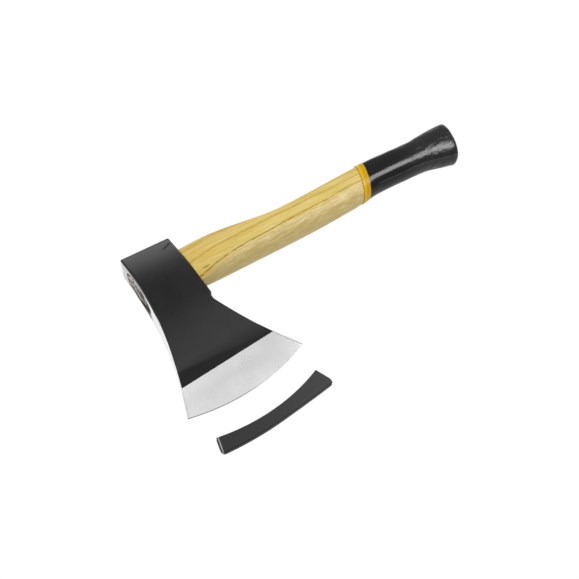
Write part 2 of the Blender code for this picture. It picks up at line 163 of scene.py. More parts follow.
class Finish:
    """A new material and its nodes."""

    def __init__(self, name):
        self.material = bpy.data.materials.new(name)
        self.material.use_nodes = True
        self.tree = self.material.node_tree
        self.principled = self.tree.nodes["Principled BSDF"]

    def add(self, kind, settings=None, inputs=None, output=0):
        node = self.tree.nodes.new(kind)
        for name, value in (settings or {}).items():
            if name == "stops":
                self.set_stops(node.color_ramp, value)
            else:
                setattr(node, name, value)
        for name, value in (inputs or {}).items():
            self.fill(node.inputs[name], value)
        return Socket(self, node.outputs[output])

    def math(self, operation, *values):
        return self.add("ShaderNodeMath", {"operation": operation}, dict(enumerate(values)))

    def set_stops(self, ramp, stops):
        """Gives a colour ramp its (place, colour) stops."""
        while len(ramp.elements) < len(stops):
            ramp.elements.new(1.0)
        for element, (place, colour) in zip(ramp.elements, stops):
            element.position = place
            element.color = (*colour, 1.0)

    def fill(self, socket, value):
        if isinstance(value, Socket):
            self.tree.links.new(value.output, socket)
        else:
            socket.default_value = value

    def shader(self, **values):
        for name, value in values.items():
            socket = name.replace("_", " ").title().replace("Ior", "IOR")
            self.fill(self.principled.inputs[socket], value)
        return self.material

    def place(self, matrix):
        """Object coordinates in millimetres, in the frame that matrix carries to where the piece lies."""
        coordinates = self.add("ShaderNodeTexCoord", output="Object")
        turned = {
            "Vector": coordinates,
            "Location": matrix.translation,
            "Rotation": matrix.to_euler(),
            "Scale": (MM, MM, MM),
        }
        return self.add("ShaderNodeMapping", {"vector_type": "TEXTURE"}, turned)

    def split(self, vector):
        """The three values of a vector."""
        node = self.add("ShaderNodeSeparateXYZ", inputs={"Vector": vector}).output.node
        return [Socket(self, output) for output in node.outputs]

    def scaled(self, vector, *factors):
        return self.add("ShaderNodeVectorMath", {"operation": "MULTIPLY"}, {0: vector, 1: factors})

    def noise(self, vector, scale=1.0, detail=2.0, roughness=0.5):
        values = {"Vector": vector, "Scale": scale, "Detail": detail, "Roughness": roughness}
        return self.add("ShaderNodeTexNoise", inputs=values)

    def step(self, value, low, high):
        """Rises smoothly from 0 at low to 1 at high. A low above the high turns it round."""
        limits = {"Value": value, "From Min": low, "From Max": high}
        if low > high:
            limits.update({"From Min": high, "From Max": low, "To Min": 1.0, "To Max": 0.0})
        return self.add("ShaderNodeMapRange", {"interpolation_type": "SMOOTHSTEP"}, limits)

    def mix(self, factor, first, second):
        """A colour between two colours. The Mix node keeps its colours in sockets 6 and 7."""
        first, second = (c if isinstance(c, Socket) else (*c, 1.0) for c in (first, second))
        inputs = {0: factor, 6: first, 7: second}
        return self.add("ShaderNodeMix", {"data_type": "RGBA"}, inputs, output=2)

    def bump(self, height, depth, strength=1.0):
        """A normal from a height that runs from 0 to 1 and is depth millimetres high."""
        values = {"Height": height, "Strength": strength, "Distance": depth * MM}
        return self.add("ShaderNodeBump", inputs=values)


print("materials can be written as expressions")

# %% [markdown]
# The light is that of a product photograph. The floor is a light table: it glows evenly, so nothing
# throws a shadow on it. Black gloss shows what stands round it, so each softbox has a task. The key,
# behind the head, lights the wood. The top one whitens the bevel and ends where the cheek must stay
# dark, and the back one greys the poll. The one over the knob draws the long streak on the grip, and the
# low one in front draws a fainter streak below it.

# %% Light table, world and softboxes
FLOOR_SIZE = 8.0
FLOOR_DROP = 0.2 * MM
FLOOR_GLOW = 1.0
WORLD_STRENGTH = 0.22
WHITE = (1.0, 1.0, 1.0, 1.0)
BLACK = (0.0, 0.0, 0.0, 1.0)
# Each softbox has a direction, a distance, a width and a height in metres, and a power in watts.
SOFTBOXES = {
    "key_softbox": ((-0.55, 0.35, 0.76), 1.6, 1.0, 1.0, 4.0),
    "top_softbox": ((0, -0.15, 0.99), 1.6, 2.0, 1.2, 6.6),
    "back_softbox": ((0.25, 0.75, 0.61), 1.6, 0.8, 0.5, 3.4),
    "streak_softbox": ((0.605, -0.05, 0.79), 1.5, 0.45, 0.35, 10.5),
    "front_softbox": ((0.5, -0.85, 0.2), 1.5, 0.7, 0.14, 1.7),
}

bpy.ops.object.select_all(action="DESELECT")
bpy.ops.mesh.primitive_plane_add(size=FLOOR_SIZE, location=(0, 0, -FLOOR_DROP))
floor = bpy.context.object
floor.name = "floor"
light_table = Finish("light_table")
floor.data.materials.append(light_table.shader(
    base_color=BLACK,
    roughness=1.0,
    emission_color=WHITE,
    emission_strength=FLOOR_GLOW,
))
floor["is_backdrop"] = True

world = bpy.data.worlds.new("studio")
bpy.context.scene.world = world
world.use_nodes = True
background = world.node_tree.nodes["Background"]
background.inputs["Color"].default_value = WHITE
background.inputs["Strength"].default_value = WORLD_STRENGTH
bpy.context.scene.view_settings.view_transform = "Standard"


def softbox(name, direction, distance, width, height, power):
    """An area light that faces the middle of the hatchet."""
    light = bpy.data.objects.new(name, bpy.data.lights.new(name, "AREA"))
    bpy.context.scene.collection.objects.link(light)
    light.data.shape = "RECTANGLE"
    light.data.size = width
    light.data.size_y = height
    light.data.energy = power
    towards = Vector(direction).normalized()
    light.location = towards * distance
    light.rotation_euler = towards.to_track_quat("Z", "Y").to_euler()


for name, values in SOFTBOXES.items():
    softbox(name, *values)

# %% [markdown]
# Modelling by operators follows one pattern: deselect everything, add a primitive, go into edit mode,
# select by place or normal, and act. These helpers do the parts that every piece repeats. `seat` puts
# a finished piece where the solids lie, with its place in its mesh, and ties it to its body. Points
# closer than `SAME_PLACE` count as one.

# %% Helpers for edit mode
SAME_PLACE = 0.01 * MM


def start_piece(name):
    """Names the primitive that was just added, bakes its place and opens it in edit mode."""
    piece = bpy.context.object
    piece.name = name
    piece.data.name = name
    bpy.ops.object.transform_apply(location=True, rotation=True, scale=True)
    bpy.ops.object.mode_set(mode="EDIT")
    return piece


def pick(piece, kind, test):
    """Selects only the faces, edges or verts for which test is true."""
    bpy.ops.mesh.select_mode(type={"faces": "FACE", "edges": "EDGE", "verts": "VERT"}[kind])
    bpy.ops.mesh.select_all(action="DESELECT")
    bm = bmesh.from_edit_mesh(piece.data)
    for element in getattr(bm, kind):
        if test(element):
            element.select_set(True)
    bm.select_flush_mode()
    bmesh.update_edit_mesh(piece.data)


def reshape(piece, move):
    """Moves every vertex to the place that move gives for it."""
    bm = bmesh.from_edit_mesh(piece.data)
    for vertex in bm.verts:
        vertex.co = move(vertex.co)
    bmesh.update_edit_mesh(piece.data)


def close_piece(piece, smooth_angle):
    """Turns all faces outwards, leaves edit mode and shades the round parts smooth."""
    bpy.ops.mesh.select_all(action="SELECT")
    bpy.ops.mesh.normals_make_consistent(inside=False)
    bpy.ops.object.mode_set(mode="OBJECT")
    bpy.ops.object.shade_smooth_by_angle(angle=smooth_angle)


def apply_modifier(piece, kind, **settings):
    modifier = piece.modifiers.new(kind.title(), kind)
    for name, value in settings.items():
        setattr(modifier, name, value)
    bpy.context.view_layer.objects.active = piece
    bpy.ops.object.modifier_apply(modifier=modifier.name)


def seat(piece, node, body, matrix):
    """Lays a finished piece where its solid lies, hides that solid, and ties the piece to its body."""
    piece.data.transform(matrix)
    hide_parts(node)
    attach(piece, body)
    print(piece.name, "has", len(piece.data.polygons), "faces")


print("helpers are ready")

# %% [markdown]
# The head is forged from one bar: a thick block round the eye, drawn out to a thin, wide blade. The
# outline is two lines, one from the poll to the toe along the top of the head and one to the heel
# beside the handle, with a small step behind the eye. Reach is the distance from the poll face.

# %% The head's outline and thickness
POLL_HALF = 11.15 * MM
CROWN_HALF = 13.1 * MM
BEVEL_HALF = 2.8 * MM
EDGE_HALF = 0.2 * MM
TOE_REACH = 150.4 * MM
TOE_RISE = 48.8 * MM
HEEL_REACH = 144.8 * MM
HEEL_DROP = 57.5 * MM
BEVEL_AT_TOE = 128.2 * MM
BEVEL_AT_HEEL = 123.8 * MM
LAND_WIDTH_AT_TOE = 14.0 * MM
LAND_WIDTH_AT_HEEL = 2.0 * MM
LAND_AT_TOE = BEVEL_AT_TOE - LAND_WIDTH_AT_TOE
LAND_AT_HEEL = BEVEL_AT_HEEL - LAND_WIDTH_AT_HEEL
LAND_REACH = (LAND_AT_TOE + LAND_AT_HEEL) / 2
LAND_FADE_AT_TOE = 1.8 * MM
LAND_FADE_AT_HEEL = 0.7 * MM
GROUND_LINES = (
    (LAND_AT_TOE, LAND_AT_HEEL),
    (LAND_AT_TOE + LAND_FADE_AT_TOE, LAND_AT_HEEL + LAND_FADE_AT_HEEL),
    (BEVEL_AT_TOE, BEVEL_AT_HEEL),
)
CHEEK_SLOPE_AT_LAND = -0.16
SWEEP_START = 15.0 * MM
NOTCH_REACH = 68.6 * MM
NOTCH_DEPTH = 1.6 * MM
NOTCH_STEP = 2.8 * MM
NOTCH_FLOOR = 3.6 * MM
HEEL_SWEEP_SLOPE = 0.40


def toe_line(reach):
    sweep = max(reach - SWEEP_START, 0.0) / (TOE_REACH - SWEEP_START)
    return -HEAD_RISE - (TOE_RISE - HEAD_RISE) * sweep**2


def heel_line(reach):
    step = min(max((reach - NOTCH_REACH) / NOTCH_STEP, 0.0), 1.0)
    start = NOTCH_REACH + NOTCH_STEP + NOTCH_FLOOR
    beyond = max(reach - start, 0.0)
    span = HEEL_REACH - start
    bend = (HEEL_DROP - HEAD_DROP + NOTCH_DEPTH - HEEL_SWEEP_SLOPE * span) / span**2
    return HEAD_DROP - NOTCH_DEPTH * step + HEEL_SWEEP_SLOPE * beyond + bend * beyond**2


def hermite(x, left, right):
    """A cubic between two (place, value, slope) ends."""
    (x0, y0, m0), (x1, y1, m1) = left, right
    span = x1 - x0
    t = (x - x0) / span
    ends = y0 * (1 + 2 * t) * (1 - t) ** 2 + y1 * t * t * (3 - 2 * t)
    return ends + m0 * span * t * (1 - t) ** 2 + m1 * span * t * t * (t - 1)


def cheek_half(reach):
    """Half the thickness: crowned over the eye, then thinning to the flat land above the bevel."""
    poll = (0.0, POLL_HALF, 2 * (CROWN_HALF - POLL_HALF) / POLL_TO_EYE)
    crown = (POLL_TO_EYE, CROWN_HALF, 0.0)
    land = (LAND_REACH, BEVEL_HALF, CHEEK_SLOPE_AT_LAND)
    return hermite(reach, poll, crown) if reach < POLL_TO_EYE else hermite(reach, crown, land)


print("blade is", round((TOE_RISE + HEEL_DROP) / MM, 1), "mm from toe to heel")

# %% [markdown]
# A smith draws out the blade step by step, and the model does the same. A grid with rounded corners is
# the poll face. Extruding it from row to row and scaling each new end to the outline gives the block,
# the cheeks and the bevel in one closed skin. Boxes joined together would leave seams in the paint.

# %% Draw out the head
POLL_ROUND = 1.4 * MM
CORNER_ROUND = 0.9 * MM
CORNER_STEPS = 3
COLUMNS = 28
ROUND_STEPS = 4
ROW_SPACING = 4.5 * MM


def spread(start, end, spacing):
    """Places from start to end, about spacing apart, without the first."""
    count = max(round(abs(end - start) / spacing), 1)
    return [start + (end - start) * (k + 1) / count for k in range(count)]


def head_rows():
    """(reach, lowest X, highest X, half thickness) of each row, from the poll to the cutting edge."""
    rows = []
    for step in range(ROUND_STEPS + 1):
        angle = math.pi / 2 * step / ROUND_STEPS
        reach = POLL_ROUND * (1 - math.cos(angle))
        inset = POLL_ROUND * (1 - math.sin(angle))
        rows.append((reach, toe_line(reach) + inset, heel_line(reach) - inset, cheek_half(reach) - inset))
    floor_start = NOTCH_REACH + NOTCH_STEP
    reaches = spread(POLL_ROUND, NOTCH_REACH, ROW_SPACING) + [floor_start, floor_start + NOTCH_FLOOR]
    reaches += spread(reaches[-1], LAND_AT_TOE - ROW_SPACING, ROW_SPACING)
    rows += [(reach, toe_line(reach), heel_line(reach), cheek_half(reach)) for reach in reaches]
    for at_toe, at_heel in GROUND_LINES:
        rows.append(((at_toe + at_heel) / 2, toe_line(at_toe), heel_line(at_heel), BEVEL_HALF))
    rows.append(((TOE_REACH + HEEL_REACH) / 2, -TOE_RISE, HEEL_DROP, EDGE_HALF))
    return rows


rows = head_rows()
reach, low, high, half = rows[0]
poll_centre = ((low + high) / 2, POLL_TO_EYE - reach, 0)
bpy.ops.object.select_all(action="DESELECT")
bpy.ops.mesh.primitive_grid_add(
    x_subdivisions=COLUMNS,
    y_subdivisions=1,
    size=1,
    location=poll_centre,
    rotation=(math.pi / 2, 0, 0),
)
head = start_piece("forged_head")
bpy.ops.transform.resize(value=(high - low, 1, 2 * half), center_override=poll_centre)
pick(head, "verts", lambda vertex: len(vertex.link_edges) == 2)
bpy.ops.mesh.bevel(offset=CORNER_ROUND, segments=CORNER_STEPS, affect="VERTICES")
bpy.ops.mesh.select_mode(type="FACE")
bpy.ops.mesh.select_all(action="SELECT")
for before, after in zip(rows, rows[1:]):
    shift = ((after[1] + after[2] - before[1] - before[2]) / 2, before[0] - after[0], 0)
    centre = ((after[1] + after[2]) / 2, POLL_TO_EYE - after[0], 0)
    widen = (after[2] - after[1]) / (before[2] - before[1])
    thin = after[3] / before[3]
    bpy.ops.mesh.extrude_region_move(TRANSFORM_OT_translate={"value": shift})
    bpy.ops.transform.resize(value=(widen, 1, thin), center_override=centre)
print("head drawn out in", len(rows), "rows")

# %% [markdown]
# The last four rows are still straight. The flat land above the bevel is wide at the toe and narrow at
# the heel, the bevel line runs slightly askew, and the cutting edge is an arc. So these rows are slid
# along the reach, column by column. The forged land fades softly into the cheek, over two close rows,
# but the bevel's upper line is marked sharp, because a grinder leaves a crisp line.

# %% Skew the land and the bevel, and bow the edge
HEAD_SMOOTH = math.radians(30)
EDGE_RADIUS = 163.0 * MM
EDGE_REACH = (TOE_REACH + HEEL_REACH) / 2
EDGE_MIDDLE = (HEEL_DROP - TOE_RISE) / 2
EDGE_SKEW = (HEEL_REACH - TOE_REACH) / (HEEL_DROP + TOE_RISE)
HALF_CHORD = math.hypot(HEEL_REACH - TOE_REACH, HEEL_DROP + TOE_RISE) / 2


def slanted_line(at_toe, at_heel):
    """A straight line across the blade, as its middle reach, its middle X and its skew."""
    low, high = toe_line(at_toe), heel_line(at_heel)
    return (at_toe + at_heel) / 2, (low + high) / 2, (at_heel - at_toe) / (high - low)


SLANTED_LINES = [slanted_line(*line) for line in GROUND_LINES]
BEVEL_LINE = SLANTED_LINES[-1]


def on_row(place, reach):
    return abs(POLL_TO_EYE - reach - place.y) < SAME_PLACE


def finish_blade(place):
    for reach, middle, skew in SLANTED_LINES:
        if on_row(place, reach):
            return place - Vector((0, skew * (place.x - middle), 0))
    if on_row(place, EDGE_REACH):
        across = place.x - EDGE_MIDDLE
        square = math.sqrt(1 + EDGE_SKEW**2)
        along = min(abs(across) * square, HALF_CHORD)
        bow = math.sqrt(EDGE_RADIUS**2 - along**2) - math.sqrt(EDGE_RADIUS**2 - HALF_CHORD**2)
        return place + Vector((-bow * EDGE_SKEW / square, -EDGE_SKEW * across - bow / square, 0))
    return place


def on_bevel_line(edge):
    reach, middle, skew = BEVEL_LINE
    return all(on_row(vertex.co, reach + skew * (vertex.co.x - middle)) for vertex in edge.verts)


reshape(head, finish_blade)
close_piece(head, HEAD_SMOOTH)
bpy.ops.object.mode_set(mode="EDIT")
pick(head, "edges", on_bevel_line)
bpy.ops.mesh.mark_sharp()
bpy.ops.object.mode_set(mode="OBJECT")
print("sharp edges along the bevel:", sum(edge.use_edge_sharp for edge in head.data.edges))

# %% [markdown]
# The eye is an oval hole, wider towards the poll and flared towards the top of the head, so that a
# wedged tenon can't pull out. One function makes every oval form of the hatchet: it starts from a
# circle, squares it a little, and extrudes it from ring to ring. A ring may be turned, because the
# grip's paint line and the knob's end are slanted.

# %% Oval forms, and the eye
OVAL_POWER = 2.3
OVAL_POINTS = 72
EYE_SHIFT = 0.7 * MM
EYE_TOP = (44.0 * MM, 18.6 * MM)
EYE_BOTTOM = (41.2 * MM, 16.6 * MM)
EYE_DROP_SHAPE = 0.18
CUT_MARGIN = 4.0 * MM


def turn(angle, centre):
    """Turns the selection about an upright axis. Without a window the operator turns the other way."""
    bpy.ops.transform.rotate(value=-angle, orient_axis="Z", center_override=centre)


def oval_form(name, rings, drop=0.0, fill="NGON"):
    """Extrudes an oval through rings, each with a middle, a length, a thickness and a slant angle."""
    bpy.ops.object.select_all(action="DESELECT")
    bpy.ops.mesh.primitive_circle_add(
        vertices=OVAL_POINTS, radius=1, fill_type=fill, rotation=(0, math.pi / 2, 0)
    )
    piece = start_piece(name)

    def squared(place):
        y = math.copysign(abs(place.y) ** (2 / OVAL_POWER), place.y)
        z = math.copysign(abs(place.z) ** (2 / OVAL_POWER), place.z)
        return Vector((0, y / 2, z / 2 * (1 + drop * y)))

    reshape(piece, squared)
    bpy.ops.mesh.select_all(action="SELECT")
    middle, length, thickness, angle = rings[0]
    bpy.ops.transform.resize(value=(1, length, thickness), center_override=(0, 0, 0))
    bpy.ops.transform.translate(value=middle)
    turn(angle, middle)
    for before, after in zip(rings, rings[1:]):
        if fill == "NGON":
            bpy.ops.mesh.extrude_region_move(TRANSFORM_OT_translate={"value": after[0] - before[0]})
        else:
            bpy.ops.mesh.extrude_edges_move(TRANSFORM_OT_translate={"value": after[0] - before[0]})
        turn(-before[3], after[0])
        stretch = (1, after[1] / before[1], after[2] / before[2])
        bpy.ops.transform.resize(value=stretch, center_override=after[0])
        turn(after[3], after[0])
    return piece


def eye_rings(start, end, clearance):
    rings = []
    for along in (start, end):
        share = (along + HEAD_RISE) / (HEAD_RISE + HEAD_DROP)
        length, width = (top + (bottom - top) * share for top, bottom in zip(EYE_TOP, EYE_BOTTOM))
        middle = Vector((along, -EYE_SHIFT, 0))
        rings.append((middle, length - 2 * clearance, width - 2 * clearance, 0.0))
    return rings


def cut(piece, tool, operation="DIFFERENCE"):
    """Cuts a piece with a tool, or joins them, and clears the tool away."""
    apply_modifier(piece, "BOOLEAN", operation=operation, solver="EXACT", object=tool)
    bpy.data.objects.remove(tool, do_unlink=True)


tool_rings = eye_rings(-HEAD_RISE - CUT_MARGIN, HEAD_DROP + CUT_MARGIN, 0)
eye_tool = oval_form("eye_tool", tool_rings, EYE_DROP_SHAPE)
close_piece(eye_tool, HEAD_SMOOTH)
cut(head, eye_tool)
seat(head, "axe_head", "hatchet", LAY)

# %% [markdown]
# The handle is one piece of ash, turned on a copying lathe. Its sides are two long curves, one towards
# the poll and one towards the edge. Each ring takes its ends from those curves, so a slanted ring still
# lies on the same surface as a square one. The wood, the paint ring and the dipped coat share it.

# %% The handle's surface
SHOULDER_AT = HEAD_DROP + 0.3 * MM
KNOB_AT = 320.0 * MM
STATIONS = [SHOULDER_AT, 50.0 * MM, 125.0 * MM, 190.0 * MM, 225.0 * MM, 275.0 * MM, KNOB_AT]
SHIFTS = [EYE_SHIFT, 0.3 * MM, 4.1 * MM, 1.3 * MM, -1.7 * MM, -0.4 * MM, 2.4 * MM]
WIDTHS = [42.6 * MM, 43.9 * MM, 36.1 * MM, 36.7 * MM, 33.9 * MM, 33.9 * MM, 45.4 * MM]
THICKNESSES = [22.6 * MM, 24.5 * MM, 24.5 * MM, 24.5 * MM, 24.0 * MM, 24.0 * MM, 27.4 * MM]
KNOB_ROUND = 4.0 * MM
HANDLE_END = 325.5 * MM
END_SLANT = 0.40
END_DOME = 1.2 * MM
DOME_STEPS = (0.85, 0.6, 0.3)


def smooth_curve(values):
    """A function along the stations that stays between each value and the next."""
    rates = []
    for k in range(len(STATIONS) - 1):
        rates.append((values[k + 1] - values[k]) / (STATIONS[k + 1] - STATIONS[k]))
    slopes = [rates[0]]
    for before, after in zip(rates, rates[1:]):
        slopes.append(0.0 if before * after <= 0 else 2 * before * after / (before + after))
    slopes.append(0.0)
    ends = list(zip(STATIONS, values, slopes))

    def value(x):
        x = min(max(x, SHOULDER_AT), KNOB_AT)
        k = max(i for i in range(len(ends) - 1) if i == 0 or x >= STATIONS[i])
        return hermite(x, ends[k], ends[k + 1])

    return value


handle_shift = smooth_curve(SHIFTS)
handle_width = smooth_curve(WIDTHS)
handle_thickness = smooth_curve(THICKNESSES)


def skin_ring(along, slant, grow):
    """A ring of the handle's skin. A slanted one lies further along on the poll side."""
    ends = []
    for side in (1, -1):
        x = along + side * slant * handle_width(along) / 2
        ends.append(Vector((x, -handle_shift(x) + side * (handle_width(x) / 2 + grow), 0)))
    span = ends[0] - ends[1]
    middle = (ends[0] + ends[1]) / 2
    return middle, span.length, handle_thickness(along) + 2 * grow, math.atan2(-span.x, span.y)


def end_rings(grow):
    """The rounded rim and the shallow dome of the knob's slanted end."""
    angle = -math.atan(END_SLANT)
    flat_width, flat_thickness = WIDTHS[-1] - 2 * KNOB_ROUND, THICKNESSES[-1] - 2 * KNOB_ROUND
    radius = KNOB_ROUND + grow
    rings = []
    for step in range(ROUND_STEPS + 1):
        turned = math.pi / 2 * step / ROUND_STEPS
        out = 2 * radius * math.cos(turned)
        middle = Vector((HANDLE_END - KNOB_ROUND + radius * math.sin(turned), -SHIFTS[-1], 0))
        rings.append((middle, (flat_width + out) / math.cos(angle), flat_thickness + out, angle))
    for size in DOME_STEPS:
        middle = Vector((HANDLE_END + grow + END_DOME * (1 - size**2), -SHIFTS[-1], 0))
        rings.append((middle, flat_width * size / math.cos(angle), flat_thickness * size, angle))
    return rings


def skin_rings(start, slant, grow):
    """Rings from start to the knob's end, which take up the end's slant on the way."""
    last = HANDLE_END - KNOB_ROUND
    rings = []
    for along in [start] + spread(start, last, ROW_SPACING)[:-1]:
        share = (along - start) / (last - start)
        rings.append(skin_ring(along, slant + (END_SLANT - slant) * share, grow))
    return rings + end_rings(grow)


print("handle is", round((HANDLE_END + HEAD_RISE) / MM), "mm long to the middle of the knob's end")

# %% [markdown]
# The wood starts at a shoulder against the head. The tenon that fills the eye is a separate oval form,
# a hair smaller than the eye, joined to the handle by a Boolean union. The wedges' solids are flat and
# right as they are, so copies of them, grown a little, cut the kerf and the slots that they sit in.

# %% Handle
SHOULDER_ROUND = 0.4 * MM
TENON_CLEARANCE = 0.15 * MM
WEDGE_CLEARANCE = 0.08 * MM
HANDLE_SMOOTH = math.radians(40)
WEDGES = ("wooden_wedge", "steel_wedge_rear", "steel_wedge_front")

shoulder, length, thickness, angle = skin_ring(SHOULDER_AT, 0.0, 0.0)
inner = (shoulder, length - 2 * SHOULDER_ROUND, thickness - 2 * SHOULDER_ROUND, angle)
handle = oval_form("ash_handle", [inner] + skin_rings(SHOULDER_AT + SHOULDER_ROUND, 0.0, 0.0))
close_piece(handle, HANDLE_SMOOTH)
tenon_rings = eye_rings(-HEAD_RISE, SHOULDER_AT + CUT_MARGIN, TENON_CLEARANCE)
tenon = oval_form("tenon", tenon_rings, EYE_DROP_SHAPE)
close_piece(tenon, HEAD_SMOOTH)
cut(handle, tenon, "UNION")
handle.data.transform(LAY)


def grown_copy(node, grow):
    """A copy of a solid, merged and moved outwards along its normals."""
    bpy.ops.object.select_all(action="DESELECT")
    piece = bpy.data.objects.new(node + "_slot", frame["nodes"][node].data.copy())
    bpy.context.scene.collection.objects.link(piece)
    bpy.context.view_layer.objects.active = piece
    piece.select_set(True)
    bpy.ops.object.mode_set(mode="EDIT")
    bpy.ops.mesh.select_all(action="SELECT")
    bpy.ops.mesh.remove_doubles(threshold=SAME_PLACE)
    bpy.ops.transform.shrink_fatten(value=grow, use_even_offset=True)
    bpy.ops.object.mode_set(mode="OBJECT")
    return piece


for node in WEDGES:
    cut(handle, grown_copy(node, WEDGE_CLEARANCE))
seat(handle, "handle", "hatchet", Matrix.Identity(4))

# %% [markdown]
# The paint ring and the dipped grip are thin skins on the same surface. Each is an open oval form whose
# wall Solidify makes inwards. The lacquer ran and dried unevenly, so the grip's skin gets soft lumps
# from a Displace modifier before it is thickened. A bump in the material would not change its outline.

# %% Paint ring and dipped grip
BAND_AT = 209.1 * MM
BAND_WIDTH = 8.3 * MM
DIP_SLANT = 0.50
SKIN_GAP = 0.3 * MM
SKIN_THICKNESS = 0.5 * MM
DIP_GAP = 0.05 * MM
LUMP_HEIGHT = 0.4 * MM
LUMP_SIZE = 11.0 * MM
LUMP_LEVEL = 0.8
BAND_STEPS = 4


def thicken(skin):
    """Gives an open skin its wall, inwards."""
    apply_modifier(skin, "SOLIDIFY", thickness=SKIN_THICKNESS, offset=-1)
    bpy.ops.object.shade_smooth_by_angle(angle=HANDLE_SMOOTH)


band_rings = []
for along in [BAND_AT] + spread(BAND_AT, BAND_AT + BAND_WIDTH, BAND_WIDTH / BAND_STEPS):
    band_rings.append(skin_ring(along, DIP_SLANT, SKIN_GAP + SKIN_THICKNESS))
band = oval_form("paint_ring", band_rings, fill="NOTHING")
close_piece(band, HANDLE_SMOOTH)
thicken(band)
seat(band, "stripe_band", "hatchet", LAY)

coat_rings = skin_rings(BAND_AT + BAND_WIDTH + DIP_GAP, DIP_SLANT, SKIN_GAP + SKIN_THICKNESS)
coat = oval_form("dipped_grip", coat_rings, fill="NOTHING")
bpy.ops.mesh.edge_face_add()
close_piece(coat, HANDLE_SMOOTH)
lumps = bpy.data.textures.new("lacquer_lumps", "CLOUDS")
lumps.noise_scale = LUMP_SIZE
lumps.noise_depth = 1
pushed = {"texture": lumps, "texture_coords": "LOCAL", "strength": LUMP_HEIGHT, "mid_level": LUMP_LEVEL}
apply_modifier(coat, "DISPLACE", **pushed)
thicken(coat)
seat(coat, "grip_coat", "hatchet", LAY)

# %% [markdown]
# The edge guard is a moulded channel that follows the cutting edge. Its section is a small grid with
# the cell of the groove taken out. Spinning the section about the centre of the edge's arc gives the
# whole channel, and the spine is then pushed out towards the ends, where the real one is deeper.

# %% Edge guard
GUARD_HALF = 2.4 * MM
GROOVE_DEPTH = 8.0 * MM
GROOVE_CLEARANCE = 0.3 * MM
GUARD_BACK = 2.2 * MM
FLARE_AT_TOE = 2.4 * MM
FLARE_AT_HEEL = 6.5 * MM
GUARD_END_INSET = 6.0 * MM
GUARD_END_ROUND = 3.0 * MM
SPINE_ROUND = 1.4 * MM
SPINE_STEPS = 4
GUARD_STEPS = 120
GUARD_SMOOTH = math.radians(35)
STEEPEST_BEVEL = (BEVEL_HALF - EDGE_HALF) / (HEEL_REACH - BEVEL_AT_HEEL)

skew = math.atan(EDGE_SKEW)
bow_depth = math.sqrt(EDGE_RADIUS**2 - HALF_CHORD**2)
arc_centre = Vector((
    EDGE_MIDDLE + bow_depth * math.sin(skew),
    POLL_TO_EYE - EDGE_REACH + bow_depth * math.cos(skew),
    0,
))
half_angle = math.asin(HALF_CHORD / EDGE_RADIUS) - GUARD_END_INSET / EDGE_RADIUS
rim_radius = EDGE_RADIUS + GROOVE_CLEARANCE - GROOVE_DEPTH
floor_half = EDGE_HALF + GROOVE_CLEARANCE
mouth_half = floor_half + STEEPEST_BEVEL * GROOVE_DEPTH
print("guard spans", round(2 * math.degrees(half_angle), 1), "degrees of the edge's arc")

bpy.ops.object.select_all(action="DESELECT")
bpy.ops.mesh.primitive_grid_add(x_subdivisions=2, y_subdivisions=3, size=2)
guard = start_piece("edge_guard_moulding")


def in_groove(face):
    """True for the middle cell on the side that opens towards the cutting edge."""
    middle = face.calc_center_median()
    return middle.x < 0 and abs(middle.y) < 0.1


pick(guard, "faces", in_groove)
bpy.ops.mesh.delete(type="FACE")


def guard_section(place):
    """From the grid's own units to the channel's section, with its radius along -Y."""
    radius = rim_radius + {-1: 0.0, 0: GROOVE_DEPTH, 1: GROOVE_DEPTH + GUARD_BACK}[round(place.x)]
    inner = floor_half if place.x > -0.5 else mouth_half
    height = GUARD_HALF if abs(place.y) > 0.5 else inner
    return arc_centre + Vector((0, -radius, math.copysign(height, place.y)))


reshape(guard, guard_section)
spine_place = arc_centre.y - rim_radius - GROOVE_DEPTH - GUARD_BACK
pick(guard, "verts", lambda v: abs(v.co.y - spine_place) < SAME_PLACE and abs(v.co.z) > GUARD_HALF / 2)
bpy.ops.mesh.bevel(offset=SPINE_ROUND, segments=SPINE_STEPS, affect="VERTICES")
bpy.ops.mesh.select_mode(type="FACE")
bpy.ops.mesh.select_all(action="SELECT")
turn(-half_angle - skew, arc_centre)
bpy.ops.mesh.spin(steps=GUARD_STEPS, angle=2 * half_angle, center=arc_centre, axis=(0, 0, -1))
print("guard section spun into", len(guard.data.polygons), "faces")


def deepen(place):
    """Pushes the spine out towards the ends and rounds its two corners."""
    arm = place - arc_centre
    flat = Vector((arm.x, arm.y, 0))
    beyond = flat.length - rim_radius - GROOVE_DEPTH
    if beyond < SAME_PLACE:
        return place
    angle = math.atan2(flat.x, -flat.y) + skew
    flare = FLARE_AT_TOE if angle < 0 else FLARE_AT_HEEL
    depth = GUARD_BACK + flare * (angle / half_angle) ** 2
    from_end = (half_angle - abs(angle)) * EDGE_RADIUS
    short = max(GUARD_END_ROUND - from_end, 0.0)
    depth -= GUARD_END_ROUND - math.sqrt(max(GUARD_END_ROUND**2 - short**2, 0.0))
    return place + flat.normalized() * (depth - GUARD_BACK)


reshape(guard, deepen)
close_piece(guard, GUARD_SMOOTH)
travel = frame["joints"][0]["range_m"][1]
GUARD_LAY = Matrix.Translation((0, -travel, 0)) @ LAY
seat(guard, "edge_guard", "guard", GUARD_LAY)
